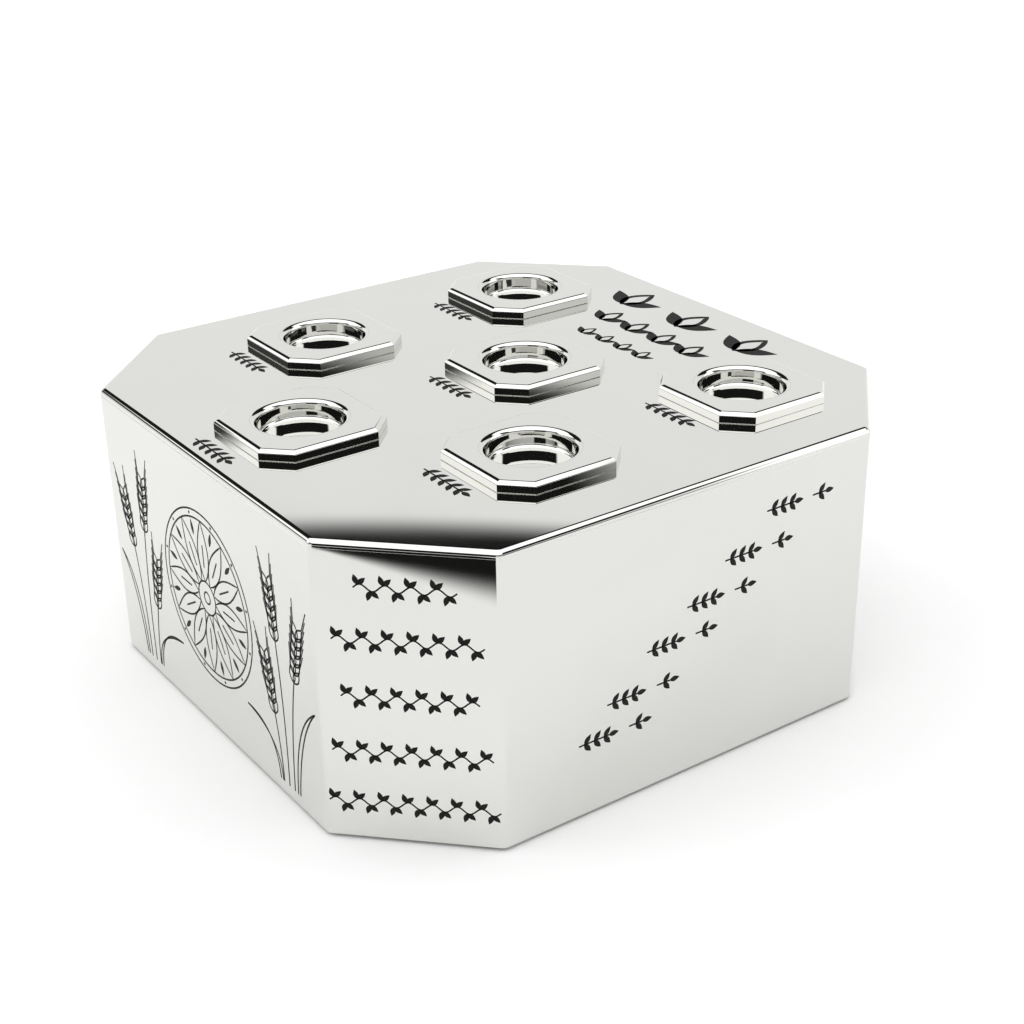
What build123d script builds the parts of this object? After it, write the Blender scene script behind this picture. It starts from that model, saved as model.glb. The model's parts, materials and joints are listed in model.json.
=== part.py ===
# Silver seder plate: an eight-sided box whose top carries six lift-out dishes, with three
# drawers for the matzot in its back. Millimetres, +Z up. The front is -Y, the drawers open to +Y.
# The origin lies on the table, under the middle of the box.

import os
from math import sqrt

from build123d import *

# Case
case_width = 320.0  # across the flats, the same both ways
corner_cut = 56.0  # leg of each cut corner
corner_bend = 4.0  # outside radius of the upright corners
wall = 1.0  # sheet of the shell and of the drawer fronts
wall_height = 140.7
top_sheet = 1.2
top_edge_radius = 3.0
top_edge_land = 0.4  # straight edge between that rounding and the shell
top_rim = 4.0  # width of the thicker rim that stands on the shell
seam_bevel = 0.05  # eases the two edges that meet under the top plate
base_thickness = 1.6
felt_thickness = 2.0
felt_inset = 5.0  # from the outside of the case to the edge of the felt
solder_gap = 0.05  # between pieces that are soldered edge to edge

# Dishes: an octagonal flange that stands on the top plate, with a spun cup let into it
dish_width = 67.5
dish_cut = 12.0
flange_height = 5.3
flange_bevel = 1.5
flange_top_round = 2.5  # eases the upper edge of that bevel
flange_side_round = 0.5  # eases the lower edge of that bevel
flange_foot_round = 0.35
flange_sheet = 1.2
side_margin = 34.5  # from the side of the case to the side dishes
front_margin = 21.5  # from the front of the case to the first dish
back_margin = 40.0  # from the back of the case to the last dishes
front_pitch = 65.5  # from the first row of dishes to the second

cup_mouth_radius = 23.3
cup_lip = 2.5  # radius of the rolled lip
cup_depth = 9.4
cup_taper = 0.32  # how much the wall draws in on its way down
cup_floor_bend = 2.0
cup_sheet = 1.0
cup_clearance = 0.6  # around the cup, in the top plate

# Drawers and what carries them
drawer_names = ("lower", "middle", "upper")
drawer_travel = 150.0
opening_side_margin = 6.5  # of the flat back, left standing beside the drawers
opening_low_margin = 4.0
opening_top_margin = 8.6
front_gap = 0.5  # around and between the drawer fronts
front_bevel = 0.3
tray_depth = 205.0
tray_sheet = 0.8
tray_bend = 2.5  # outside radius of the tray's upright corners
tray_inset = 2.5  # from the side of the opening to the side of the tray
tray_headroom = 8.0  # above the tray, to the underside of the next slot
runner_rise = 0.5  # from the floor of the slot to the underside of the runner
runner_thickness = 2.0
runner_lap = 5.0  # how far a runner reaches under the tray
stop_catch = 2.0  # how far a stop lug reaches behind the edge of the opening
stop_gap = 0.5  # left between the lugs and the back at full travel, and behind a shut drawer
lug_height = 12.0
lug_rise = 3.0  # from the underside of the tray to the lug
guide_clearance = 1.0  # from a stop lug to the guide panel
guide_sheet = 1.2
guide_foot = 9.0  # width of the flange at the foot of a guide panel
guide_foot_setback = 20.0  # from the back wall to the end of that flange
guide_screw_inset = 30.0  # from each end of that flange to its screw

# Knobs and screws
knob_width = 16.0
knob_cut = 4.5
knob_thickness = 5.0
knob_bevel = 1.5
knob_stem_radius = 3.5
knob_stem = 6.0
screw_radius = 1.5
screw_clearance = 0.05
screw_head_radius = 2.75
screw_head_height = 1.6
screw_slot = 0.7
screw_slot_depth = 0.6
post_radius = 4.0
post_inset = 14.0  # from the outside of a cut corner to the middle of its post
post_screw_length = 12.0
guide_screw_length = 3.4
knob_screw_length = 7.0

# Heights and places that follow from the sizes above
half = case_width / 2
inner_half = half - wall
shell_bottom = felt_thickness
base_top = shell_bottom + base_thickness
top_underside = shell_bottom + wall_height
top_thickness = top_edge_radius + top_edge_land
deck = top_underside + top_thickness
dish_top = deck + flange_height

cup_wall_radius = cup_mouth_radius - cup_lip
cup_hole_radius = cup_wall_radius + cup_sheet + cup_clearance

column = half - side_margin - dish_width / 2
first_row = -half + front_margin + dish_width / 2
last_row = half - back_margin - dish_width / 2
second_row = first_row + front_pitch
dish_places = {
    "front": (0, first_row),
    "front_left": (-column, second_row),
    "front_right": (column, second_row),
    "centre": (0, (second_row + last_row) / 2),
    "back_left": (-column, last_row),
    "back_right": (column, last_row),
}

opening_width = case_width - 2 * corner_cut - 2 * opening_side_margin
opening_bottom = shell_bottom + opening_low_margin
opening_height = wall_height - opening_low_margin - opening_top_margin
slot_pitch = opening_height / len(drawer_names)
slot_bottoms = [opening_bottom + n * slot_pitch for n in range(len(drawer_names))]
front_width = opening_width - 2 * front_gap
front_height = slot_pitch - front_gap
tray_width = opening_width - 2 * tray_inset
tray_rise = runner_rise + runner_thickness
tray_height = slot_pitch - tray_rise - tray_headroom
tray_end = inner_half - tray_depth
lug_span = opening_width + 2 * stop_catch
guide_inner = lug_span / 2 + guide_clearance
guide_outer = guide_inner + guide_sheet
guide_front = tray_end - stop_gap - guide_sheet
guide_top = opening_bottom + opening_height
guide_foot_back = inner_half - guide_foot_setback

sides = {"left": -1, "right": 1}
post_place = half - corner_cut / 2 - post_inset / sqrt(2)
post_places = [(x * post_place, y * post_place) for x in (-1, 1) for y in (-1, 1)]
guide_screw_x = guide_outer + guide_foot / 2
guide_screw_rows = (guide_front + guide_screw_inset, guide_foot_back - guide_screw_inset)
guide_screw_places = [(x * guide_screw_x, y) for x in (-1, 1) for y in guide_screw_rows]


# A square with cut corners, centred on the origin and drawn a given distance inside its outline
def octagon(width, cut, inset=0.0, bend=0.0):
    with BuildSketch(mode=Mode.PRIVATE) as outline:
        Rectangle(width - 2 * inset, width - 2 * inset)
        chamfer(outline.vertices(), cut - inset * (2 - sqrt(2)))
        if bend > inset:
            fillet(outline.vertices(), bend - inset)
    return outline.sketch


# A plane that looks down from under the case, and one that looks out of its back
def facing_down(x, y, z):
    return Plane(origin=(x, y, z), x_dir=(1, 0, 0), z_dir=(0, 0, -1))


def facing_back(x, y, z):
    return Plane(origin=(x, y, z), x_dir=(1, 0, 0), z_dir=(0, 1, 0))


def save(piece, name):
    piece.label = name
    export_step(piece, f"parts/{name}.step")


os.makedirs("parts", exist_ok=True)

# Shell: one strip bent round eight sides, with an opening in the back for the drawers
with BuildPart() as case_shell:
    with BuildSketch(Plane.XY.offset(shell_bottom)):
        add(octagon(case_width, corner_cut, bend=corner_bend))
        add(octagon(case_width, corner_cut, wall, corner_bend), mode=Mode.SUBTRACT)
    extrude(amount=wall_height)
    chamfer(case_shell.faces().sort_by(Axis.Z)[-1].outer_wire().edges(), seam_bevel)
    with BuildSketch(Plane.XZ.offset(-half)):
        with Locations((0, opening_bottom + opening_height / 2)):
            Rectangle(opening_width, opening_height)
    extrude(amount=2 * wall, mode=Mode.SUBTRACT)
save(case_shell.part, "case_shell")

# Top plate: sheet on a thicker rim, rounded on its upper edge, with a hole under each dish
with BuildPart() as top_plate:
    with BuildSketch(Plane.XY.offset(top_underside)):
        add(octagon(case_width, corner_cut, bend=corner_bend))
    extrude(amount=top_thickness)
    fillet(top_plate.faces().sort_by(Axis.Z)[-1].edges(), top_edge_radius)
    chamfer(top_plate.faces().sort_by(Axis.Z)[0].edges(), seam_bevel)
    with BuildSketch(Plane.XY.offset(top_underside)):
        add(octagon(case_width, corner_cut, top_rim))
    extrude(amount=top_thickness - top_sheet, mode=Mode.SUBTRACT)
    with BuildSketch(Plane.XY.offset(top_underside)):
        with Locations(*dish_places.values()):
            Circle(cup_hole_radius)
    extrude(amount=top_thickness, mode=Mode.SUBTRACT)
save(top_plate.part, "top_plate")

# Base plate, let into the foot of the shell and countersunk from below
with BuildPart() as base_plate:
    with BuildSketch(Plane.XY.offset(shell_bottom)):
        add(octagon(case_width, corner_cut, wall + solder_gap, corner_bend))
    extrude(amount=base_thickness)
    with Locations(*[facing_down(x, y, shell_bottom) for x, y in post_places + guide_screw_places]):
        CounterSinkHole(screw_radius, screw_head_radius, counter_sink_angle=90)
save(base_plate.part, "base_plate")

with BuildPart() as base_felt:
    with BuildSketch():
        add(octagon(case_width, corner_cut, felt_inset, corner_bend))
    extrude(amount=felt_thickness)
save(base_felt.part, "base_felt")

# Posts that tie the base plate to the top plate, one in each cut corner
with BuildPart() as corner_posts:
    with BuildSketch(Plane.XY.offset(base_top)):
        with Locations(*post_places):
            Circle(post_radius)
    extrude(amount=deck - top_sheet - base_top)
    with Locations(*[facing_down(x, y, base_top) for x, y in post_places]):
        Hole(screw_radius, depth=post_screw_length)
save(corner_posts.part, "corner_posts")


# A slotted screw with a countersunk head, its head level with the plane it is drawn on
def countersunk_screw(length):
    shank = screw_radius - screw_clearance
    head = screw_head_radius - screw_clearance
    with BuildPart(mode=Mode.PRIVATE) as screw:
        with BuildSketch(Plane.XZ):
            Polygon((0, 0), (head, 0), (shank, head - shank), (shank, length), (0, length), align=None)
        revolve(axis=Axis.Z)
        with Locations((0, 0, screw_slot_depth / 2)):
            Box(2 * head, screw_slot, screw_slot_depth, mode=Mode.SUBTRACT)
    return screw.part


with BuildPart() as post_screws:
    with Locations(*[(x, y, shell_bottom) for x, y in post_places]):
        add(countersunk_screw(post_screw_length))
save(post_screws.part, "post_screws")

with BuildPart() as guide_screws:
    with Locations(*[(x, y, shell_bottom) for x, y in guide_screw_places]):
        add(countersunk_screw(guide_screw_length))
save(guide_screws.part, "guide_screws")

# Guide panels beside the drawers, each folded out into a foot that is screwed to the base plate
for side, sign in sides.items():
    with BuildPart() as guide_panel:
        with BuildSketch(Plane.XY.offset(base_top)):
            with Locations((sign * (guide_inner + guide_outer) / 2, (guide_front + inner_half) / 2)):
                Rectangle(guide_sheet, inner_half - guide_front)
        extrude(amount=guide_top - base_top)
        with BuildSketch(Plane.XY.offset(base_top)):
            with Locations((sign * guide_screw_x, (guide_front + guide_foot_back) / 2)):
                Rectangle(guide_foot, guide_foot_back - guide_front)
        extrude(amount=guide_sheet)
        with Locations(*[facing_down(sign * guide_screw_x, y, base_top) for y in guide_screw_rows]):
            Hole(screw_radius, depth=guide_sheet)
    save(guide_panel.part, f"guide_panel_{side}")

# Plate that joins the guide panels and stops the drawers as they are pushed in
with BuildPart() as drawer_stop_plate:
    with BuildSketch(Plane.XY.offset(base_top)):
        with Locations((0, guide_front + guide_sheet / 2)):
            Rectangle(2 * guide_inner, guide_sheet)
    extrude(amount=guide_top - base_top)
save(drawer_stop_plate.part, "drawer_stop_plate")

# Runners, soldered to the guide panels
runner_inner = tray_width / 2 - runner_lap
for drawer, slot_bottom in zip(drawer_names, slot_bottoms):
    for side, sign in sides.items():
        with BuildPart() as runner:
            with BuildSketch(Plane.XY.offset(slot_bottom + runner_rise)):
                runner_middle = (tray_end - stop_gap + inner_half) / 2
                with Locations((sign * (runner_inner + guide_inner) / 2, runner_middle)):
                    Rectangle(guide_inner - runner_inner, inner_half - tray_end + stop_gap)
            extrude(amount=runner_thickness)
        save(runner.part, f"runner_{drawer}_{side}")


# The solid octagonal block of a dish with its bevel, a given distance inside its outside
def dish_block(inset):
    with BuildPart(mode=Mode.PRIVATE) as block:
        with BuildSketch():
            add(octagon(dish_width, dish_cut, inset))
        extrude(amount=flange_height - inset)
        chamfer(block.faces().sort_by(Axis.Z)[-1].edges(), flange_bevel - inset * (2 - sqrt(2)))
    return block.part


# Dish flanges: octagonal caps of sheet, holed for the lip of the cup
for place, (x, y) in dish_places.items():
    with BuildPart() as flange:
        with Locations((x, y, deck)):
            add(dish_block(0))
            add(dish_block(flange_sheet), mode=Mode.SUBTRACT)
        with BuildSketch(Plane.XY.offset(deck)):
            with Locations((x, y)):
                Circle(cup_mouth_radius + solder_gap)
        extrude(amount=flange_height, mode=Mode.SUBTRACT)
        fillet(flange.faces().sort_by(Axis.Z)[0].outer_wire().edges(), flange_foot_round)
        bevel_foot = dish_top - flange_bevel
        fillet(flange.faces().sort_by(Axis.Z)[-1].outer_wire().edges(), flange_top_round)
        fillet(flange.edges().filter_by_position(Axis.Z, bevel_foot, bevel_foot), flange_side_round)
    save(flange.part, f"dish_flange_{place}")

# Cups: spun from sheet, with a rolled lip and a flat floor
for place, (x, y) in dish_places.items():
    with BuildPart() as cup:
        with BuildSketch(Plane(origin=(x, y, dish_top), x_dir=(1, 0, 0), z_dir=(0, -1, 0))):
            with BuildLine() as profile:
                floor_end = cup_wall_radius - cup_taper
                Polyline((0, -cup_depth), (floor_end, -cup_depth), (cup_wall_radius, -cup_lip))
                fillet(profile.vertices().sort_by_distance((floor_end, -cup_depth))[0], cup_floor_bend)
                RadiusArc((cup_wall_radius, -cup_lip), (cup_mouth_radius, 0), cup_lip)
                offset(amount=cup_sheet, side=Side.RIGHT, kind=Kind.INTERSECTION)
            make_face()
        revolve(axis=Axis((x, y, 0), (0, 0, 1)))
    save(cup.part, f"dish_cup_{place}")

# Drawers: a folded tray with two stop lugs, behind a front that lies flush in the back of the case
for drawer, slot_bottom in zip(drawer_names, slot_bottoms):
    tray_bottom = slot_bottom + tray_rise
    front_middle = slot_bottom + slot_pitch / 2
    lug_back = inner_half - drawer_travel - stop_gap

    with BuildPart() as tray:
        with BuildSketch(Plane.XY.offset(tray_bottom)) as tray_floor:
            with Locations((0, inner_half - tray_depth / 2)):
                Rectangle(tray_width, tray_depth)
            fillet(tray_floor.vertices(), tray_bend)
        extrude(amount=tray_height)
        offset(amount=-tray_sheet, openings=tray.faces().sort_by(Axis.Z)[-1])
        lug_reach = (lug_span - tray_width) / 2
        lug_middle = tray_bottom + lug_rise + lug_height / 2
        for sign in sides.values():
            with Locations((sign * (tray_width + lug_reach) / 2, lug_back - tray_sheet / 2, lug_middle)):
                Box(lug_reach, tray_sheet, lug_height)
        with Locations(facing_back(0, inner_half, front_middle)):
            Hole(screw_radius, depth=2 * tray_sheet)
    save(tray.part, f"drawer_tray_{drawer}")

    with BuildPart() as front:
        with BuildSketch(Plane.XZ.offset(-half)):
            with Locations((0, front_middle)):
                Rectangle(front_width, front_height)
        extrude(amount=wall)
        chamfer(front.faces().sort_by(Axis.Y)[-1].edges(), front_bevel)
        with Locations(facing_back(0, half, front_middle)):
            Hole(screw_radius, depth=wall)
    save(front.part, f"drawer_front_{drawer}")

    with BuildPart() as knob:
        with BuildSketch(facing_back(0, half, front_middle)):
            Circle(knob_stem_radius)
        extrude(amount=knob_stem)
        with BuildSketch(facing_back(0, half + knob_stem, front_middle)):
            add(octagon(knob_width, knob_cut))
        extrude(amount=knob_thickness)
        chamfer(knob.faces().sort_by(Axis.Y)[-1].edges(), knob_bevel)
        with Locations(facing_back(0, half, front_middle).rotated((180, 0, 0))):
            Hole(screw_radius, depth=knob_screw_length)
    save(knob.part, f"drawer_knob_{drawer}")

    with BuildPart() as knob_screw:
        with BuildSketch(facing_back(0, inner_half - tray_sheet, front_middle)):
            Circle(screw_radius - screw_clearance)
        extrude(amount=knob_screw_length)
        with BuildSketch(facing_back(0, inner_half - tray_sheet - screw_head_height, front_middle)):
            Circle(screw_head_radius)
        extrude(amount=screw_head_height)
        head_face = inner_half - tray_sheet - screw_head_height
        with Locations((0, head_face + screw_slot_depth / 2, front_middle)):
            Box(2 * screw_head_radius, screw_slot_depth, screw_slot, mode=Mode.SUBTRACT)
    save(knob_screw.part, f"knob_screw_{drawer}")
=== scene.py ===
# Seder plate on a matzah box: finishes, engraved ornament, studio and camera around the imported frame.
import json
import math

import bmesh
import bpy
from mathutils import Matrix, Vector

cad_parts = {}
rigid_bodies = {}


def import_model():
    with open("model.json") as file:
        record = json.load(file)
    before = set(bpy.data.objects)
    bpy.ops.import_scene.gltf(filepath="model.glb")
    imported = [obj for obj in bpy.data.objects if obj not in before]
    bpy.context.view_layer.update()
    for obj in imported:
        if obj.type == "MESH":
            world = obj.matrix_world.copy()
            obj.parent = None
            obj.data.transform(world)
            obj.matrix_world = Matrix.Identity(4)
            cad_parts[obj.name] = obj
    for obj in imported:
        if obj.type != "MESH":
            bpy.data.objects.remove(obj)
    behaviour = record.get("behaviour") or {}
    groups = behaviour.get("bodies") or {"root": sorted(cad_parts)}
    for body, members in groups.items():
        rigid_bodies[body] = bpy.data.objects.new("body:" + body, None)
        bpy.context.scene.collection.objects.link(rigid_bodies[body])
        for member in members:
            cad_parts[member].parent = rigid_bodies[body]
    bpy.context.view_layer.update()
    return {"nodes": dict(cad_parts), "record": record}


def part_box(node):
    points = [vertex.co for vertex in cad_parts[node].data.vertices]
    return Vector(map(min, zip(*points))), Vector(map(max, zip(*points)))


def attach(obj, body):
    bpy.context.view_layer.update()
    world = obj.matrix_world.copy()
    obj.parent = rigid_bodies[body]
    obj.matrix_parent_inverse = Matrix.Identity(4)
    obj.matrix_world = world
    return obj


for leftover in list(bpy.data.objects):
    bpy.data.objects.remove(leftover)
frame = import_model()
mm = 0.001


# sRGB hex to linear colour
def toLinear(hexColour):
    channels = [int(hexColour[i:i + 2], 16) / 255 for i in (1, 3, 5)]
    return [c / 12.92 if c <= 0.04045 else ((c + 0.055) / 1.055) ** 2.4 for c in channels] + [1.0]


# one node with its settings; an input is a value or the socket that feeds it
def addNode(tree, kind, inputs=None, **settings):
    node = tree.nodes.new(kind)
    for name, value in settings.items():
        setattr(node, name, value)
    for name, value in (inputs or {}).items():
        if isinstance(value, bpy.types.NodeSocket):
            tree.links.new(value, node.inputs[name])
        else:
            node.inputs[name].default_value = value
    return node


def newMaterial(name):
    material = bpy.data.materials.new(name)
    material.use_nodes = True
    tree = material.node_tree
    tree.nodes.clear()
    output = addNode(tree, "ShaderNodeOutputMaterial")
    place = addNode(tree, "ShaderNodeNewGeometry").outputs["Position"]
    return material, tree, output, place


# Silver, cast or rolled and then buffed to a mirror: sharp, nearly neutral reflections, a breath of
# warmth, a faint haze left by the polishing cloth and the slight unevenness of hand-finished sheet
mirrorSilver = {
    "colour": "#DFDFDC",
    "haze": "#D9D9D5",
    "hazeSize": 70 * mm,  # width of a wiped patch
    "roughness": (0.012, 0.035),
    "hazeSpan": (0.1, 0.45),  # from clean to most wiped
    "buffSpacing": 0.9 * mm,  # real buff lines are finer; drawn this coarse so that they show
    "buffLength": 45 * mm,
    "waveSize": 110 * mm,  # from one shallow dent of the sheet to the next
    "waveHeight": 0.0035 * mm,
}


def makeMirrorSilver(spec):
    material, tree, output, place = newMaterial("silver_mirror_polished")
    haze = addNode(tree, "ShaderNodeTexNoise", {
        "Vector": place, "Scale": 1 / spec["hazeSize"], "Detail": 3.0, "Roughness": 0.55,
    })
    lines = addNode(tree, "ShaderNodeVectorMath", {
        0: place, 1: (1 / spec["buffLength"], 1 / spec["buffLength"], 1 / spec["buffSpacing"]),
    }, operation="MULTIPLY")
    buff = addNode(tree, "ShaderNodeTexNoise", {"Vector": lines.outputs[0], "Scale": 1.0, "Detail": 2.0})
    colour = addNode(tree, "ShaderNodeMix", {
        "Factor": haze.outputs["Fac"], "A": toLinear(spec["colour"]), "B": toLinear(spec["haze"]),
    }, data_type="RGBA")
    wiped = addNode(tree, "ShaderNodeMath", {
        0: haze.outputs["Fac"], 1: buff.outputs["Fac"],
    }, operation="MULTIPLY")
    roughness = addNode(tree, "ShaderNodeMapRange", {
        "Value": wiped.outputs[0], "From Min": spec["hazeSpan"][0], "From Max": spec["hazeSpan"][1],
        "To Min": spec["roughness"][0], "To Max": spec["roughness"][1],
    })
    wave = addNode(tree, "ShaderNodeTexNoise", {
        "Vector": place, "Scale": 1 / spec["waveSize"], "Detail": 1.0,
    })
    bump = addNode(tree, "ShaderNodeBump", {"Height": wave.outputs["Fac"], "Distance": spec["waveHeight"]})
    metal = addNode(tree, "ShaderNodeBsdfPrincipled", {
        "Base Color": colour.outputs["Result"], "Metallic": 1.0,
        "Roughness": roughness.outputs[0], "Normal": bump.outputs[0],
    })
    tree.links.new(metal.outputs[0], output.inputs[0])
    return material


# Silver-plated sheet left satin from the brush: soft reflections drawn out across fine straight lines
satinSilver = {
    "colour": "#D9D8D2",
    "shade": "#C2C1BA",
    "lineSpacing": 0.5 * mm,  # real brush lines are about 0.1 mm apart; drawn coarser so that they show
    "lineLength": 60 * mm,
    "roughness": (0.24, 0.38),
    "lineSpan": (0.3, 0.7),  # from the smoothest line to the roughest
    "lineDepth": 0.01 * mm,
    "lineStrength": 0.5,
}


def makeSatinSilver(spec):
    material, tree, output, place = newMaterial("silver_plate_satin_brushed")
    lines = addNode(tree, "ShaderNodeVectorMath", {
        0: place, 1: (1 / spec["lineSpacing"], 1 / spec["lineLength"], 1 / spec["lineSpacing"]),
    }, operation="MULTIPLY")
    brush = addNode(tree, "ShaderNodeTexNoise", {"Vector": lines.outputs[0], "Scale": 1.0, "Detail": 3.0})
    colour = addNode(tree, "ShaderNodeMix", {
        "Factor": brush.outputs["Fac"], "A": toLinear(spec["colour"]), "B": toLinear(spec["shade"]),
    }, data_type="RGBA")
    roughness = addNode(tree, "ShaderNodeMapRange", {
        "Value": brush.outputs["Fac"], "From Min": spec["lineSpan"][0], "From Max": spec["lineSpan"][1],
        "To Min": spec["roughness"][0], "To Max": spec["roughness"][1],
    })
    bump = addNode(tree, "ShaderNodeBump", {
        "Height": brush.outputs["Fac"], "Distance": spec["lineDepth"], "Strength": spec["lineStrength"],
    })
    metal = addNode(tree, "ShaderNodeBsdfPrincipled", {
        "Base Color": colour.outputs["Result"], "Metallic": 1.0,
        "Roughness": roughness.outputs[0], "Normal": bump.outputs[0],
    })
    tree.links.new(metal.outputs[0], output.inputs[0])
    return material


# Steel screws, turned on a lathe: darker than the silver, with a close mottle left by the tool
turnedSteel = {
    "colour": "#A3A4A6",
    "shade": "#808184",
    "ringSpacing": 0.25 * mm,
    "roughness": 0.3,
    "ringDepth": 0.01 * mm,
}


def makeTurnedSteel(spec):
    material, tree, output, place = newMaterial("steel_turned")
    rings = addNode(tree, "ShaderNodeTexNoise", {
        "Vector": place, "Scale": 1 / spec["ringSpacing"], "Detail": 1.0,
    })
    colour = addNode(tree, "ShaderNodeMix", {
        "Factor": rings.outputs["Fac"], "A": toLinear(spec["colour"]), "B": toLinear(spec["shade"]),
    }, data_type="RGBA")
    bump = addNode(tree, "ShaderNodeBump", {"Height": rings.outputs["Fac"], "Distance": spec["ringDepth"]})
    metal = addNode(tree, "ShaderNodeBsdfPrincipled", {
        "Base Color": colour.outputs["Result"], "Metallic": 1.0, "Roughness": spec["roughness"],
        "Normal": bump.outputs[0],
    })
    tree.links.new(metal.outputs[0], output.inputs[0])
    return material


# Pressed wool felt, dyed dark blue: no gloss, a soft fibre mottle and a pale fuzz at grazing angles
woolFelt = {
    "colour": "#1B2340",
    "fibre": "#2C365C",
    "fibreSize": 0.8 * mm,  # clumps of fibre; single fibres are too fine to show
    "fibreHeight": 0.15 * mm,
    "roughness": 0.95,
    "fuzz": 0.4,
}


def makeWoolFelt(spec):
    material, tree, output, place = newMaterial("felt_pressed_wool")
    fibre = addNode(tree, "ShaderNodeTexNoise", {
        "Vector": place, "Scale": 1 / spec["fibreSize"], "Detail": 6.0, "Roughness": 0.7,
    })
    colour = addNode(tree, "ShaderNodeMix", {
        "Factor": fibre.outputs["Fac"], "A": toLinear(spec["colour"]), "B": toLinear(spec["fibre"]),
    }, data_type="RGBA")
    bump = addNode(tree, "ShaderNodeBump", {"Height": fibre.outputs["Fac"], "Distance": spec["fibreHeight"]})
    cloth = addNode(tree, "ShaderNodeBsdfPrincipled", {
        "Base Color": colour.outputs["Result"], "Roughness": spec["roughness"], "Sheen Weight": spec["fuzz"],
        "Normal": bump.outputs[0],
    })
    tree.links.new(cloth.outputs[0], output.inputs[0])
    return material


# Oxidised silver in the cuts of the graver: soot black, dull, a little browner where it has worn
graverBlack = {
    "colour": "#0F0F0E",
    "worn": "#2A2825",
    "grainSize": 1.5 * mm,
    "wornSpan": (0.55, 0.8),  # from sooty grains to worn ones
    "roughness": 0.55,
    "metallic": 0.2,
    "gloss": 0.2,
}


def makeGraverBlack(spec):
    material, tree, output, place = newMaterial("silver_oxidised_black")
    grain = addNode(tree, "ShaderNodeTexNoise", {
        "Vector": place, "Scale": 1 / spec["grainSize"], "Detail": 4.0,
    })
    worn = addNode(tree, "ShaderNodeMapRange", {
        "Value": grain.outputs["Fac"], "From Min": spec["wornSpan"][0], "From Max": spec["wornSpan"][1],
    })
    colour = addNode(tree, "ShaderNodeMix", {
        "Factor": worn.outputs[0], "A": toLinear(spec["colour"]), "B": toLinear(spec["worn"]),
    }, data_type="RGBA")
    patina = addNode(tree, "ShaderNodeBsdfPrincipled", {
        "Base Color": colour.outputs["Result"], "Metallic": spec["metallic"],
        "Roughness": spec["roughness"], "Specular IOR Level": spec["gloss"],
    })
    tree.links.new(patina.outputs[0], output.inputs[0])
    return material


finishes = {
    "polished_silver": makeMirrorSilver(mirrorSilver),
    "satin_silver": makeSatinSilver(satinSilver),
    "screw_steel": makeTurnedSteel(turnedSteel),
    "felt": makeWoolFelt(woolFelt),
}
blackCut = makeGraverBlack(graverBlack)
for row in frame["record"]["subparts"]:
    for slot in frame["nodes"][row["node"]].material_slots:
        slot.material = finishes[row["material_slot"]]
print("finishes assigned:", ", ".join(sorted(finishes)))


# Case faces that carry ornament, each as a flat drawing board: its origin, its two axes and the way out
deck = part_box("top_plate")[1].z
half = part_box("case_shell")[1].x
cornerCut = 56 * mm  # along each of the two sides that meet there
slant = Vector((1, 1, 0)).normalized()
boards = {
    "front": (Vector((0, -half, 0)), Vector((1, 0, 0)), Vector((0, 0, 1)), Vector((0, -1, 0))),
    "corner": (Vector((half - cornerCut / 2, -half + cornerCut / 2, 0)), slant, Vector((0, 0, 1)),
               Vector((1, -1, 0)).normalized()),
    "right": (Vector((half, 0, 0)), Vector((0, 1, 0)), Vector((0, 0, 1)), Vector((1, 0, 0))),
    "top": (Vector((0, 0, deck)), Vector((1, 0, 0)), Vector((0, 1, 0)), Vector((0, 0, 1))),
}
cut = {
    "proud": 0.03 * mm, "sunk": 0.25 * mm,  # the black lies a hair proud, so that it shows
    "endReach": 0.35, "endPinch": 0.25,  # a line's blunt end, as shares of its width
}


# places a flat drawing's points, in millimetres, on a board at a height above it
def onBoard(board, points, height):
    origin, across, up, out = boards[board]
    return [origin + across * (u * mm) + up * (v * mm) + out * height for u, v in points]


# a closed sliver between a top outline and its copy sunk into the wall
def addSliver(mesh, board, outline):
    top = [mesh.verts.new(p) for p in onBoard(board, outline, cut["proud"])]
    low = [mesh.verts.new(p) for p in onBoard(board, outline, -cut["sunk"])]
    mesh.faces.new(top)
    mesh.faces.new(low[::-1])
    for i in range(len(top)):
        j = (i + 1) % len(top)
        mesh.faces.new((top[j], top[i], low[i], low[j]))


# a line of even width along points, with blunt rounded ends, or closed on itself
def addLine(mesh, board, points, width, closed=False):
    points = [Vector(p) for p in points]
    count = len(points)
    left, right = [], []
    for i, p in enumerate(points):
        before = points[i - 1] if closed or i else p
        after = points[(i + 1) % count] if closed or i < count - 1 else p
        along = (after - before).normalized()
        side = Vector((-along.y, along.x)) * width / 2
        left.append(p + side)
        right.append(p - side)
    if closed:
        addRibbon(mesh, board, left, right, True)
        return
    reach, pinch = width * cut["endReach"], cut["endPinch"]
    start = (points[0] - points[1]).normalized() * reach
    end = (points[-1] - points[-2]).normalized() * reach
    left = [left[0].lerp(right[0], pinch) + start] + left + [left[-1].lerp(right[-1], pinch) + end]
    right = [right[0].lerp(left[1], pinch) + start] + right + [right[-1].lerp(left[-2], pinch) + end]
    addRibbon(mesh, board, left, right, False)


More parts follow.
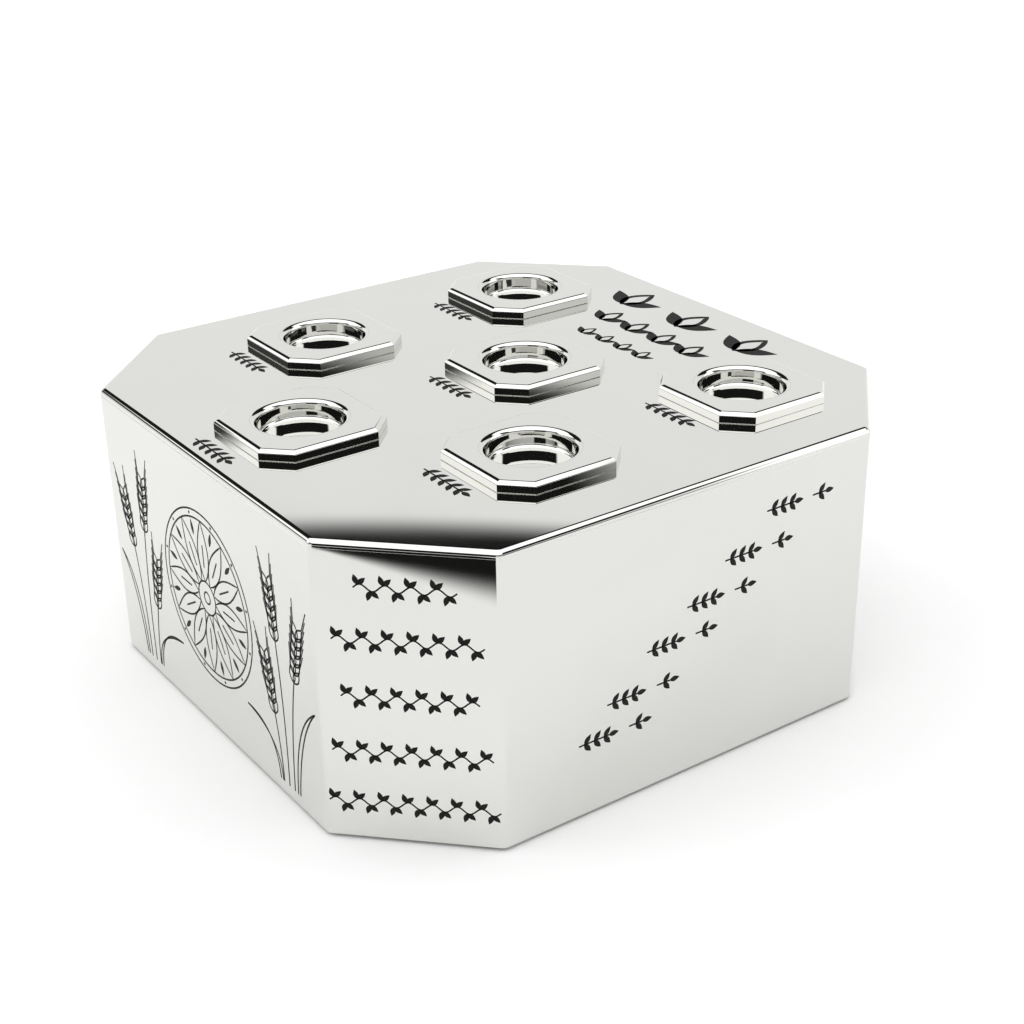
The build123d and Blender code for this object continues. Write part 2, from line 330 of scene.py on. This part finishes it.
# the closed body of a line between its left and right edges
def addRibbon(mesh, board, left, right, closed):
    rings = []
    for height in (cut["proud"], -cut["sunk"]):
        rings.append([mesh.verts.new(p) for p in onBoard(board, left, height)])
        rings.append([mesh.verts.new(p) for p in onBoard(board, right, height)])
    topLeft, topRight, lowLeft, lowRight = rings
    count = len(left)
    for i in range(count if closed else count - 1):
        j = (i + 1) % count
        mesh.faces.new((topLeft[i], topRight[i], topRight[j], topLeft[j]))
        mesh.faces.new((lowLeft[j], lowRight[j], lowRight[i], lowLeft[i]))
        mesh.faces.new((topLeft[j], lowLeft[j], lowLeft[i], topLeft[i]))
        mesh.faces.new((topRight[i], lowRight[i], lowRight[j], topRight[j]))
    if not closed:
        mesh.faces.new((topRight[0], topLeft[0], lowLeft[0], lowRight[0]))
        mesh.faces.new((topLeft[-1], topRight[-1], lowRight[-1], lowLeft[-1]))


# outline of a leaf from its foot, pointing along an angle, with a fuller lower half
def leafOutline(foot, angle, length, width, steps=9, fullness=0.85):
    along = Vector((math.cos(angle), math.sin(angle)))
    side = Vector((-along.y, along.x))
    foot = Vector(foot)
    edge = []
    for i in range(1, steps):
        t = i / steps
        edge.append((t * length, width / 2 * math.sin(math.pi * t ** fullness)))
    points = [foot] + [foot + along * a + side * b for a, b in edge] + [foot + along * length]
    return points + [foot + along * a - side * b for a, b in reversed(edge)]


# points on a curve that leaves its start and meets its end in line with the middle point
def bend(start, middle, end, steps=14):
    start, middle, end = Vector(start), Vector(middle), Vector(end)
    ts = [i / steps for i in range(steps + 1)]
    return [start * (1 - t) ** 2 + middle * (2 * t * (1 - t)) + end * t ** 2 for t in ts]


def circle(middle, radius, steps=64):
    angles = [2 * math.pi * i / steps for i in range(steps)]
    return [Vector(middle) + Vector((math.cos(a), math.sin(a))) * radius for a in angles]


def finishEngraving(mesh, name):
    bmesh.ops.recalc_face_normals(mesh, faces=mesh.faces)
    data = bpy.data.meshes.new(name)
    mesh.to_mesh(data)
    mesh.free()
    data.materials.append(blackCut)
    piece = bpy.data.objects.new(name, data)
    bpy.context.scene.collection.objects.link(piece)
    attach(piece, "case")
    print("engraved:", name, len(data.polygons), "faces")


# Front: a rosette of long petals in a double ring, between two sheaves of barley
rosette = {
    "middle": (0, 74), "ring": 44, "ringGap": 4, "eye": 8.5, "pupil": 2.975, "line": 0.95,
    "petals": 12, "petalWidth": 10.5, "vein": (0.25, 0.6),  # the vein as shares of the petal's length
    "seed": 8, "seedWidth": 2.6, "seedInset": 13,  # between the petals, set in from the ring
    "bead": 0.8, "beadSides": 10,  # between the two rings
}
barley = {
    "stems": (((70, 8), (71, 48), (67, 82)), ((75, 8), (76, 42), (82, 68)), ((65, 8), (65, 22), (61, 42))),
    "blades": (((78, 8), (80, 48), (99, 60)), ((62, 8), (60, 34), (34, 34))),
    "line": 0.95, "grain": 9, "grainWidth": 4.6, "grains": 6, "grainPitch": 4.8, "grainLean": 0.42,
    "awn": 11, "awnLine": 0.76, "bladeShift": 4,
}


def engraveRosette(mesh, spec):
    middle, ring = Vector(spec["middle"]), spec["ring"]
    for radius in (ring, ring - spec["ringGap"], spec["eye"], spec["pupil"]):
        addLine(mesh, "front", circle(middle, radius), spec["line"], closed=True)
    reach = ring - spec["ringGap"] - spec["eye"]
    for i in range(spec["petals"]):
        angle = 2 * math.pi * i / spec["petals"] + math.pi / 2
        way = Vector((math.cos(angle), math.sin(angle)))
        petal = leafOutline(middle + way * spec["eye"], angle, reach, spec["petalWidth"])
        addLine(mesh, "front", petal, spec["line"], closed=True)
        vein = [middle + way * (spec["eye"] + reach * share) for share in spec["vein"]]
        addLine(mesh, "front", vein, spec["line"])
        turn = angle + math.pi / spec["petals"]
        way = Vector((math.cos(turn), math.sin(turn)))
        seedFoot = middle + way * (ring - spec["seedInset"])
        addSliver(mesh, "front", leafOutline(seedFoot, turn, spec["seed"], spec["seedWidth"]))
        beadMiddle = middle + way * (ring - spec["ringGap"] / 2)
        addSliver(mesh, "front", circle(beadMiddle, spec["bead"], spec["beadSides"]))


def engraveBarley(mesh, spec, side):
    for stem in spec["stems"]:
        stem = bend(*[(side * u, v) for u, v in stem])
        addLine(mesh, "front", stem, spec["line"])
        along = (stem[-1] - stem[-2]).normalized()
        lean = math.atan2(along.y, along.x)
        for i in range(spec["grains"]):
            foot = stem[-1] + along * spec["grainPitch"] * i
            for turn in (-spec["grainLean"], spec["grainLean"]):
                grain = leafOutline(foot, lean + turn, spec["grain"], spec["grainWidth"])
                addLine(mesh, "front", grain, spec["line"], closed=True)
                tip = foot + Vector((math.cos(lean + turn), math.sin(lean + turn))) * spec["grain"]
                end = tip + Vector((math.cos(lean + turn / 2), math.sin(lean + turn / 2))) * spec["awn"]
                addLine(mesh, "front", [tip, end], spec["awnLine"])
    for foot, middle, tip in spec["blades"]:
        for shift in (0, spec["bladeShift"]):
            points = (foot[0] + shift / 2, foot[1]), (middle[0] + shift, middle[1] - shift), tip
            addLine(mesh, "front", bend(*[(side * u, v) for u, v in points]), spec["line"])


drawing = bmesh.new()
engraveRosette(drawing, rosette)
for side in (-1, 1):
    engraveBarley(drawing, barley, side)
finishEngraving(drawing, "front_engraving")

# a straight sprig: a stem with pairs of filled leaves and one leaf at its end
sprig = {"stem": 0.8, "leaf": 5.2, "leafWidth": 2.5, "pitch": 4.6, "lean": 0.85}


def addSprig(mesh, board, middle, length, size=1.0, spec=sprig):
    u, v = middle
    start = u - length / 2
    leaf, width = spec["leaf"] * size, spec["leafWidth"] * size
    stem = length - leaf
    addLine(mesh, board, [(start, v), (start + stem, v)], spec["stem"] * size)
    addSliver(mesh, board, leafOutline((start + stem, v), 0, leaf, width))
    pairs = round(stem / (spec["pitch"] * size))
    for i in range(pairs):
        for turn in (-spec["lean"], spec["lean"]):
            addSliver(mesh, board, leafOutline((start + stem * (i + 0.5) / pairs, v), turn, leaf, width))


# Front right corner: five rows of running leaf, one under the other
cornerRows = {
    "heights": (126, 101, 73.5, 46, 20), "lengths": (44, 69, 63, 73, 76),
    "wave": 1.6, "pitch": 5.4, "pitchSteps": 8, "line": 0.75,
    "leaf": 5.0, "leafWidth": 2.5, "leans": (0.75, 1.85),
    "footAlong": 0.3, "footRise": 0.8,  # where the leaves stand, as shares of the pitch and of the wave
}


def engraveCorner(mesh, spec):
    for v, length in zip(spec["heights"], spec["lengths"]):
        count = int(length / spec["pitch"])
        start = -count * spec["pitch"] / 2
        stem = []
        for i in range(count * spec["pitchSteps"] + 1):
            t = i / spec["pitchSteps"]
            stem.append((start + spec["pitch"] * t, v + spec["wave"] * math.sin(math.pi * t)))
        addLine(mesh, "corner", stem, spec["line"])
        for i in range(count):
            turn = 1 if i % 2 == 0 else -1
            u = start + spec["pitch"] * (i + spec["footAlong"])
            foot = (u, v + turn * spec["wave"] * spec["footRise"])
            for lean in spec["leans"]:
                addSliver(mesh, "corner", leafOutline(foot, turn * lean, spec["leaf"], spec["leafWidth"]))


drawing = bmesh.new()
engraveCorner(drawing, cornerRows)
finishEngraving(drawing, "corner_engraving")

# Right side: six short pairs of sprigs that step down towards the front
sideSteps = {
    "places": ((62, 122), (38, 104.5), (16.5, 88), (-6, 73), (-28, 54), (-43.5, 38.5)),
    "long": 22, "short": 13, "gap": 6, "size": 1.1,
}


def engraveSide(mesh, spec):
    ends = (spec["long"] + spec["gap"] + spec["short"]) / 2
    for u, v in spec["places"]:
        addSprig(mesh, "right", (u - ends + spec["long"] / 2, v), spec["long"], spec["size"])
        addSprig(mesh, "right", (u + ends - spec["short"] / 2, v), spec["short"], spec["size"])


drawing = bmesh.new()
engraveSide(drawing, sideSteps)
finishEngraving(drawing, "side_engraving")

# Top: three rows of three-leaf sprays behind the middle dish, large to small, and a sprig before each dish
topRows = (
    {"v": 135, "places": (-46, 0, 46), "height": 25, "line": 3.0},
    {"v": 106, "places": (-33, -11, 11, 33), "height": 17, "line": 2.1},
    {"v": 82, "places": (-22.5, -7.5, 7.5, 22.5), "height": 11, "line": 1.4},
)
spray = {
    "width": 0.45, "sideLength": 0.9, "sideWidth": 0.36,  # shares of its height
    "sideLean": 0.95,  # radians
}
dishSprig = {"away": 11.2, "length": 36, "size": 1.2}  # away from the dish's front edge


# an open leaf that points away from the front, with a filled leaf on each side
def addSpray(mesh, place, height, line, spec=spray):
    foot = Vector(place) - Vector((0, height / 2))
    ahead = math.pi / 2
    addLine(mesh, "top", leafOutline(foot, ahead, height - line, height * spec["width"]), line, closed=True)
    for turn in (-spec["sideLean"], spec["sideLean"]):
        leaf = leafOutline(foot, ahead + turn, height * spec["sideLength"], height * spec["sideWidth"])
        addSliver(mesh, "top", leaf)


drawing = bmesh.new()
for row in topRows:
    for u in row["places"]:
        addSpray(drawing, (u, row["v"]), row["height"], row["line"])
for name in frame["nodes"]:
    if name.startswith("dish_flange_"):
        low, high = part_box(name)
        middle = ((low.x + high.x) / 2 / mm, low.y / mm - dishSprig["away"])
        addSprig(drawing, "top", middle, dishSprig["length"], dishSprig["size"])
finishEngraving(drawing, "top_engraving")


# Camera at the photograph's viewing angle, its places in metres
shot = {
    "eye": (0.6700, -0.4547, 0.4633), "target": (0.0037, 0.0116, 0.0700), "roll": -0.93,  # degrees
    "lens": 61.5, "sensor": 36, "nearest": 0.01,
}
lens = bpy.data.cameras.new("camera")
lens.lens = shot["lens"]
lens.sensor_width = shot["sensor"]
lens.clip_start = shot["nearest"]
camera = bpy.data.objects.new("camera", lens)
look = (Vector(shot["target"]) - Vector(shot["eye"])).to_track_quat("-Z", "Y").to_matrix().to_4x4()
roll = Matrix.Rotation(math.radians(shot["roll"]), 4, "Z")
camera.matrix_world = Matrix.Translation(shot["eye"]) @ look @ roll
bpy.context.scene.collection.objects.link(camera)
bpy.context.scene.camera = camera
bpy.context.scene.view_settings.view_transform = "Standard"

# Studio: lights in a dark room, each as angles round from the camera, positive to its left, and above the
# horizon. A pair of angles is a soft edge: where the light ends and where it is full
studio = {
    "towards": -34.2,  # degrees from +X round to the camera
    "dark": 0.0136,  # the room itself
    "lowBand": {"strength": 0.17, "top": (15, 11)},  # faint, all round
    "horizon": {"strength": 1.08, "top": (4.5, 3), "foot": (2.2, 1.5)},  # where the paper floor runs up
    "gap": {"middle": 24.5, "edge": (8.5, 14.5)},  # beside the camera, dark down to the floor
    "paleCard": {  # low, round the camera
        "strength": 0.8, "span": ((-66, -60), (66, 60)), "top": (20, 18), "gap": (13, 17),
    },
    "wall": {  # pale, behind the plate and round to the right; its ends are angles from straight behind
        "strength": 0.983, "glow": 0.25, "glowSpan": (0.3, 0.8),  # brighter on the left
        "leftEnd": (54, 46), "rightEnd": (-102, -92),  # the right end leans away
        "top": (26.98, 25.87), "topTilt": 3.5, "topDrop": 9.5, "dropSpan": (-45, -135),  # lower on the right
    },
    "leftPanel": {
        "strength": 1.6, "span": ((68, 76), (134, 126)), "top": (48, 44),
        "foot": (22, 23), "footAt": 118, "footFall": 0.2,  # the foot falls towards the camera
        "shade": 0.0625, "low": 0.91, "lowTop": (15, 11),  # under its foot, and close to the floor
    },
    "rightPanel": {
        "strength": 1.6, "start": (-70, -77), "end": (-114, -106), "top": (48, 44),
        "leanFrom": 24, "lean": 66,  # its near edge leans away from there, by this much overhead
    },
    "softBox": {  # overhead, on the camera's side
        "strength": 1.61, "foot": (32, 35), "liftFrom": 94, "lift": 20.7,  # rising behind the plate
        "raise": 11, "raiseSpan": ((-50, -70), (-120, -90)),  # and on the right
    },
}


# strength inside soft edges; an edge is an angle, where the patch ends and where it is full
def addPatch(tree, strength, *edges):
    for angle, end, full in edges:
        edge = addNode(tree, "ShaderNodeMapRange", {
            "Value": angle, "From Min": end, "From Max": full,
        }, interpolation_type="SMOOTHSTEP")
        patch = addNode(tree, "ShaderNodeMath", {0: edge.outputs[0], 1: strength}, operation="MULTIPLY")
        strength = patch.outputs[0]
    return strength


def makeStudio(spec):
    world = bpy.data.worlds.new("studio")
    bpy.context.scene.world = world
    world.use_nodes = True
    tree = world.node_tree
    tree.nodes.clear()
    way = addNode(tree, "ShaderNodeTexCoord").outputs["Generated"]
    turn = math.radians(spec["towards"])
    ahead = Vector((math.cos(turn), math.sin(turn), 0))
    axes = {"near": ahead, "far": -ahead, "left": Vector((ahead.y, -ahead.x, 0)), "up": Vector((0, 0, 1))}
    part = {}
    for name, axis in axes.items():
        dot = addNode(tree, "ShaderNodeVectorMath", {0: way, 1: axis}, operation="DOT_PRODUCT")
        part[name] = dot.outputs["Value"]
    above = addNode(tree, "ShaderNodeMath", {0: part["up"]}, operation="ARCSINE")
    fromCamera = addNode(tree, "ShaderNodeMath", {0: part["left"], 1: part["near"]}, operation="ARCTAN2")
    fromBehind = addNode(tree, "ShaderNodeMath", {0: part["left"], 1: part["far"]}, operation="ARCTAN2")
    degrees = []
    for angle in (above, fromCamera, fromBehind):
        turned = addNode(tree, "ShaderNodeMath", {0: angle.outputs[0]}, operation="DEGREES")
        degrees.append(turned.outputs[0])
    rise, swing, back = degrees

    offGap = addNode(tree, "ShaderNodeMath", {0: swing, 1: spec["gap"]["middle"]}, operation="SUBTRACT")
    fromGap = addNode(tree, "ShaderNodeMath", {0: offGap.outputs[0]}, operation="ABSOLUTE")
    gapEdge = (fromGap.outputs[0], *spec["gap"]["edge"])

    card = spec["paleCard"]
    cardEdges = [(swing, *edge) for edge in card["span"]]
    cardEdges += [(rise, *card["top"]), (fromGap.outputs[0], *card["gap"])]

    wall = spec["wall"]
    drop = addPatch(tree, wall["topDrop"], (back, *wall["dropSpan"]))
    tilt = addNode(tree, "ShaderNodeMath", {
        0: part["left"], 1: wall["topTilt"], 2: rise,
    }, operation="MULTIPLY_ADD")
    wallRise = addNode(tree, "ShaderNodeMath", {0: tilt.outputs[0], 1: drop}, operation="ADD")
    glow = addPatch(tree, wall["glow"], (part["left"], *wall["glowSpan"]))
    wallLight = addNode(tree, "ShaderNodeMath", {0: glow, 1: wall["strength"]}, operation="ADD")
    wallTurn = addNode(tree, "ShaderNodeMath", {0: back, 1: rise}, operation="ADD")
    wallTop = (wallRise.outputs[0], *wall["top"])
    wallEnds = (back, *wall["leftEnd"]), (wallTurn.outputs[0], *wall["rightEnd"])

    panel = spec["leftPanel"]
    span = [(swing, *edge) for edge in panel["span"]]
    panelTop = (rise, *panel["top"])
    fromFoot = addNode(tree, "ShaderNodeMath", {0: swing, 1: panel["footAt"]}, operation="SUBTRACT")
    footRise = addNode(tree, "ShaderNodeMath", {
        0: fromFoot.outputs[0], 1: -panel["footFall"], 2: rise,
    }, operation="MULTIPLY_ADD")

    side = spec["rightPanel"]
    lean = addNode(tree, "ShaderNodeMapRange", {
        "Value": rise, "From Min": side["leanFrom"], "From Max": 90.0, "To Max": side["lean"],
    })
    sideTurn = addNode(tree, "ShaderNodeMath", {0: swing, 1: lean.outputs[0]}, operation="ADD")
    sideEnds = (sideTurn.outputs[0], *side["start"]), (swing, *side["end"])

    box = spec["softBox"]
    behind = addNode(tree, "ShaderNodeMath", {0: back}, operation="ABSOLUTE")
    lift = addNode(tree, "ShaderNodeMapRange", {
        "Value": behind.outputs[0], "From Min": box["liftFrom"], "From Max": 0.0, "To Max": box["lift"],
    })
    lifted = addNode(tree, "ShaderNodeMath", {0: rise, 1: lift.outputs[0]}, operation="SUBTRACT")
    raised = addPatch(tree, box["raise"], *[(swing, *edge) for edge in box["raiseSpan"]])
    boxRise = addNode(tree, "ShaderNodeMath", {0: lifted.outputs[0], 1: raised}, operation="SUBTRACT")

    lights = (
        addPatch(tree, spec["lowBand"]["strength"], (rise, *spec["lowBand"]["top"]), gapEdge),
        addPatch(tree, spec["horizon"]["strength"], (rise, *spec["horizon"]["top"]), gapEdge),
        addPatch(tree, spec["horizon"]["strength"], (rise, *spec["horizon"]["foot"])),
        addPatch(tree, card["strength"], *cardEdges),
        addPatch(tree, wallLight.outputs[0], *wallEnds, wallTop, wallTop),
        addPatch(tree, panel["low"], *span, (rise, *panel["lowTop"])),
        addPatch(tree, panel["shade"], *span, panelTop),
        addPatch(tree, panel["strength"], *span, panelTop, (footRise.outputs[0], *panel["foot"])),
        addPatch(tree, side["strength"], *sideEnds, (rise, *side["top"])),
        addPatch(tree, box["strength"], (boxRise.outputs[0], *box["foot"])),
    )
    brightest = spec["dark"]
    for light in lights:
        either = addNode(tree, "ShaderNodeMath", {0: light, 1: brightest}, operation="MAXIMUM")
        brightest = either.outputs[0]
    lit = addNode(tree, "ShaderNodeBackground", {"Color": brightest})
    output = addNode(tree, "ShaderNodeOutputWorld")
    tree.links.new(lit.outputs[0], output.inputs[0])


makeStudio(studio)


# a flat sheet of the stage, which is no part of the plate
def addSheet(name, corners, material):
    data = bpy.data.meshes.new(name)
    data.from_pydata(corners, [], [range(len(corners))])
    data.materials.append(material)
    sheet = bpy.data.objects.new(name, data)
    bpy.context.scene.collection.objects.link(sheet)
    return sheet


# Floor: matt white paper with painted light: a little whiter towards the plate's left, a painted pool of
# light
floorPaper = {"reach": 40.0, "colour": "#FAFAFA", "paintedLight": "#FFFFFF", "paintedLightSpan": (60 * mm, -120 * mm)}


def makeFloor(spec):
    material, tree, output, place = newMaterial("paper_white")
    across = addNode(tree, "ShaderNodeSeparateXYZ", {0: place}).outputs["X"]
    # painted light: the paper's colour runs whiter towards the left
    glow = addNode(tree, "ShaderNodeMapRange", {
        "Value": across, "From Min": spec["paintedLightSpan"][0], "From Max": spec["paintedLightSpan"][1],
    }, interpolation_type="SMOOTHSTEP")
    colour = addNode(tree, "ShaderNodeMix", {
        "Factor": glow.outputs[0], "A": toLinear(spec["colour"]), "B": toLinear(spec["paintedLight"]),
    }, data_type="RGBA")
    paper = addNode(tree, "ShaderNodeBsdfDiffuse", {"Color": colour.outputs["Result"]})
    tree.links.new(paper.outputs[0], output.inputs[0])
    r = spec["reach"]
    addSheet("floor", [(-r, -r, 0), (r, -r, 0), (r, r, 0), (-r, r, 0)], material)


makeFloor(floorPaper)

# Dark card lying on the floor beside the cut corner, in metres, fading round its pivot; only the silver sees
# it, as a painted dark reflection: the card is hidden from the camera, from bounced light and from shadows
darkReflectionCard = {
    "colour": "#191919", "height": 0.5 * mm,
    "pivot": (0.2356, -0.4127), "black": 52, "clear": 71,  # degrees round the pivot
    "corners": ((0.232, -0.42), (1.385, -2.64), (1.745, -2.395), (0.335, -0.335), (0.285, -0.262)),
}


def makeDarkReflectionCard(spec):
    pivot = Vector((*spec["pivot"], spec["height"]))
    material, tree, output, place = newMaterial("painted_reflection_black")
    arm = addNode(tree, "ShaderNodeVectorMath", {0: place, 1: pivot}, operation="SUBTRACT")
    parts = addNode(tree, "ShaderNodeSeparateXYZ", {0: arm.outputs[0]})
    swing = addNode(tree, "ShaderNodeMath", {
        0: parts.outputs["Y"], 1: parts.outputs["X"],
    }, operation="ARCTAN2")
    edge = (swing.outputs[0], math.radians(spec["black"]), math.radians(spec["clear"]))
    fade = addPatch(tree, 1.0, edge, edge)
    # painted dark reflection: black where the card is full, clear where it fades
    black = addNode(tree, "ShaderNodeBsdfDiffuse", {"Color": toLinear(spec["colour"])})
    clear = addNode(tree, "ShaderNodeBsdfTransparent")
    mix = addNode(tree, "ShaderNodeMixShader", {0: fade, 1: black.outputs[0], 2: clear.outputs[0]})
    tree.links.new(mix.outputs[0], output.inputs[0])
    card = addSheet("painted_dark_reflection", [(x, y, pivot.z) for x, y in spec["corners"]], material)
    card.visible_camera = False
    card.visible_diffuse = False
    card.visible_shadow = False


makeDarkReflectionCard(darkReflectionCard)
print("studio and camera set")
